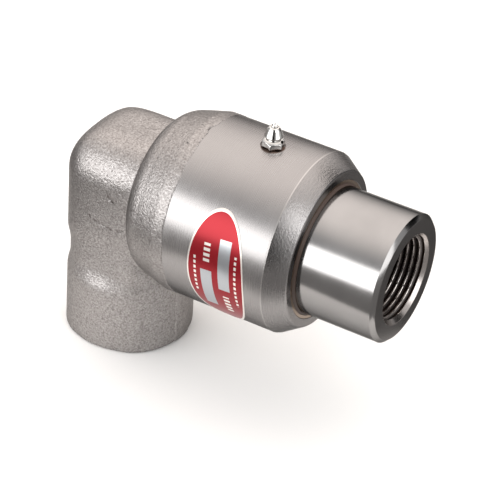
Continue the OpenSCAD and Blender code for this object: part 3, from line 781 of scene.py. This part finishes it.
def nipple():
    """The grease nipple, as rings of height above its spot face and radius."""
    half_flats, hexagon_turn, count = 3.69, math.radians(43), 180
    turn = 2 * np.pi * np.arange(count) / count
    flat = (turn - hexagon_turn) % (np.pi / 3) - np.pi / 6
    hexagon = np.minimum(half_flats / np.cos(flat), 4.2)
    rings = [(-5.5, 0.0), (-5.5, 2.7), (-5.2, 3.0), (-0.05, 3.0), (0.0, np.minimum(hexagon, 3.95))]
    # The hexagon, rounded below and above
    for z in (0.15, 0.3, 0.9, 1.4):
        rings.append((z, np.minimum(hexagon, 3.95 + z * 0.9)))
    for z in np.linspace(1.9, 3.5, 26):
        t = z - 1.9
        rings.append((z, np.minimum(hexagon, 4.25 - 0.2 * t - 0.36 * t * t)))
    # The neck, the cone and the rounded tip with its open mouth
    rings += [(3.56, 2.84), (3.6, 2.7), (3.8, 2.64), (4.0, 2.7)]
    for a in np.radians(np.arange(-62, 41, 8)):
        rings.append((4.65 + 0.6 * math.sin(a), 2.7 + 0.6 * math.cos(a)))
    rings += [(7.1, 2.48), (7.5, 2.26)]
    for a in np.radians(np.arange(12, 91, 11)):
        rings.append((7.6 + 0.7 * math.sin(a), 1.4 + 0.7 * math.cos(a)))
    rings += [(8.72, 1.38), (8.88, 1.3), (8.9, 1.2), (8.88, 1.05), (8.7, 0.92), (8.1, 0.55)]
    # The bore for ball and spring
    rings += [(6.8, 0.5), (6.4, 1.3), (1.0, 1.3), (1.0, 0.78), (-5.5, 0.78)]
    corners = []
    for z, r in rings:
        r = np.broadcast_to(np.asarray(r, float), count)
        corners.append(np.stack([
            NIPPLE_X + r * np.cos(turn), r * np.sin(turn), np.full(count, NIPPLE_Z + z)
        ], 1))
    return np.concatenate(corners), tube_faces(len(rings), count)


def coil(low, high, radius, wire, turns):
    """A wire wound round the nipple's axis, closed at both ends."""
    steps, around = turns * 36, 12
    t = np.arange(steps + 1) / steps
    a = 2 * np.pi * turns * t
    middle = np.stack([
        NIPPLE_X + radius * np.cos(a), radius * np.sin(a), low + (high - low) * t
    ], 1)
    outward = np.stack([np.cos(a), np.sin(a), 0 * a], 1)
    along = np.gradient(middle, axis=0)
    upward = np.cross(outward, along / np.linalg.norm(along, axis=1)[:, None])
    ring = np.r_[0, np.arange(steps + 1), steps]
    size = np.r_[0, np.full(steps + 1, wire), 0][:, None, None]
    b = (2 * np.pi * np.arange(around) / around)[None, :, None]
    across = np.cos(b) * outward[ring, None] + np.sin(b) * upward[ring, None]
    corners = middle[ring, None] + size * across
    return corners.reshape(-1, 3), tube_faces(len(ring), around)[:, ::-1]


corners, faces = nipple()
nipple_piece = mesh_piece(
    "grease_nipple_body", corners, faces, "housing", PLATED, sharp=28
)
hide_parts("grease_nipple")

# The check ball's spring, drawn at one length between its ends; the real one shortens as the ball
# goes down
corners, faces = coil(SPRING_LOW, SPRING_HIGH, radius=1.07, wire=0.15, turns=5)
spring_piece = mesh_piece("nipple_coil_spring", corners, faces, "housing", SPRING)
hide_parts("nipple_spring")
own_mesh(spring_piece)


def name_plate():
    """An oval foil bent round the barrel, and how far each corner lies along and across
    it, from -1 to 1."""
    count, rings = 180, 30
    half_x, half_arc, skew, middle = 11.4, 26.5, math.radians(3.6), math.radians(96)
    thick, rim = 0.228, ((1.0, 0.228), (1.004, 0.19), (1.004, 0.03))
    steps = [(min((i + 0.02) / rings, 1.0) ** 0.8, thick) for i in range(rings)] + list(rim)
    corners, places = [], []
    for reach, height in steps:
        for a in (2 * math.pi * k / count for k in range(count)):
            u, v = reach * math.cos(a), reach * math.sin(a)
            along = half_x * u * math.cos(skew) + half_arc * v * math.sin(skew)
            bend = half_arc * v * math.cos(skew) - half_x * u * math.sin(skew)
            angle = middle + bend / BARREL_R
            r = BARREL_R + height
            corners.append((PLATE_X + along, -r * math.sin(angle), AXIS_H + r * math.cos(angle)))
            places.append((u, v))
    faces = [list(range(count))] + tube_faces(len(steps), count)[:, ::-1].tolist()
    return corners, faces, np.array(places)


corners, faces, places = name_plate()
plate = mesh_piece("name_plate_foil", corners, faces, "housing", FOIL)
keep_values(plate, "plate", places[:, 0], places[:, 1])
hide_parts("name_plate")


# Floor, light and camera, in metres

def before(s, t, z):
    """A point s in front of the object's middle towards the camera and t to the right."""
    return (0.05 + 0.4755 * s + 0.8797 * t, -0.8797 * s + 0.4755 * t, z)


def flat_sheets(name, material_name, colour, corners):
    """Matt flat sheets of one colour, with four corners each."""
    material, _, shader, _ = new_material(material_name)
    settle(shader, Base_Color=linear(colour), Roughness=0.9, Specular_IOR_Level=0.0)
    sheets = [tuple(range(i, i + 4)) for i in range(0, len(corners), 4)]
    obj = new_object(name, [before(*corner) for corner in corners], sheets)
    obj.data.materials.append(material)
    return obj


# A white sheet under the object on a grey table, which the metal mirrors darker
SHEET_Z, TABLE_Z = -0.0002, -0.0012
flat_sheets("white_sheet", "matt_white_paper", "#FBFBFA", [
    (0.089, -0.1, SHEET_Z), (0.089, 0.096, SHEET_Z),
    (-0.42, 0.119, SHEET_Z), (-0.42, -0.22, SHEET_Z),
])
flat_sheets("table", "matt_grey_table", "#808080", [
    (6, -6, TABLE_Z), (6, 6, TABLE_Z), (-6, 6, TABLE_Z), (-6, -6, TABLE_Z),
])

# Black cards behind the camera and at the far right, which bright metal shows as dark
# lines. No camera sees them, so that they stand in no view's way
cards = flat_sheets("black_cards", "matt_black_card", "#0C0C0C", [
    (0.80, -0.17, 0.02), (0.80, 0.17, 0.02), (0.80, 0.17, 0.78), (0.80, -0.17, 0.78),
    (-0.12, 0.70, 0.10), (-0.48, 0.50, 0.10), (-0.48, 0.50, 0.62), (-0.12, 0.70, 0.62),
])
cards.visible_camera = False

# Plain soft light from all round, with a wide warm glow overhead towards the back
GLOW_WAY = (-0.24, 0.42, 0.875)
SKY_LIGHT, GLOW_LIGHT = (0.60, 0.60, 0.605, 1), (1.86, 1.74, 1.66, 1)
world = bpy.data.worlds.new("studio")
bpy.context.scene.world = world
world.use_nodes = True
sky = world.node_tree
way = add(sky, "ShaderNodeTexCoord").outputs["Generated"]
toward = add(sky, "ShaderNodeVectorMath", {"operation": "DOT_PRODUCT"}, {0: way, 1: GLOW_WAY})
glow = add(sky, "ShaderNodeMapRange", {"interpolation_type": "SMOOTHSTEP"}, {
    0: toward.outputs["Value"], 1: 0.3, 2: 1.0, 3: 0.0, 4: 1.0,
}).outputs[0]
colour = add(sky, "ShaderNodeMix", {"data_type": "RGBA"}, {0: glow})
colour.inputs[6].default_value = SKY_LIGHT
colour.inputs[7].default_value = GLOW_LIGHT
sky.links.new(colour.outputs[2], sky.nodes["Background"].inputs["Color"])


def softbox(name, direction, distance, width, height, power):
    """A soft area lamp in a direction from the object's middle, aimed at it."""
    middle = Vector((0.05, 0.0, 0.06))
    place = middle + Vector(direction).normalized() * distance
    data = bpy.data.lights.new(name, "AREA")
    data.shape = "RECTANGLE"
    data.size, data.size_y = width, height
    data.energy = power
    lamp = bpy.data.objects.new(name, data)
    bpy.context.scene.collection.objects.link(lamp)
    lamp.location = place
    lamp.rotation_euler = (middle - place).to_track_quat("-Z", "Y").to_euler()


softbox("key_softbox", (-0.44, -0.85, 0.265), 1.1, width=1.25, height=0.67, power=8.9)
softbox("side_softbox", (0.70, -0.38, 0.66), 1.2, width=0.5, height=0.5, power=1.9)
softbox("low_softbox", (0.90, -0.13, 0.30), 1.1, width=0.8, height=0.5, power=2.6)

# The camera at the photograph's angle: its place, and the directions to its right, up
# and back
CAMERA_PLACE = (0.3723, -0.59564, 0.52129)
CAMERA_WAYS = (0.8572, 0.5114, 0.0610), (-0.3358, 0.4652, 0.8190), (0.3904, -0.7226, 0.5705)
camera_data = bpy.data.cameras.new("camera")
camera_data.sensor_width = 36
camera_data.lens = 163.86
camera_data.clip_start = 0.05
camera_data.clip_end = 60
camera = bpy.data.objects.new("camera", camera_data)
bpy.context.scene.collection.objects.link(camera)
turn = Matrix(CAMERA_WAYS).transposed().to_4x4()
camera.matrix_world = Matrix.Translation(CAMERA_PLACE) @ turn
bpy.context.scene.camera = camera
bpy.context.scene.view_settings.view_transform = "Standard"
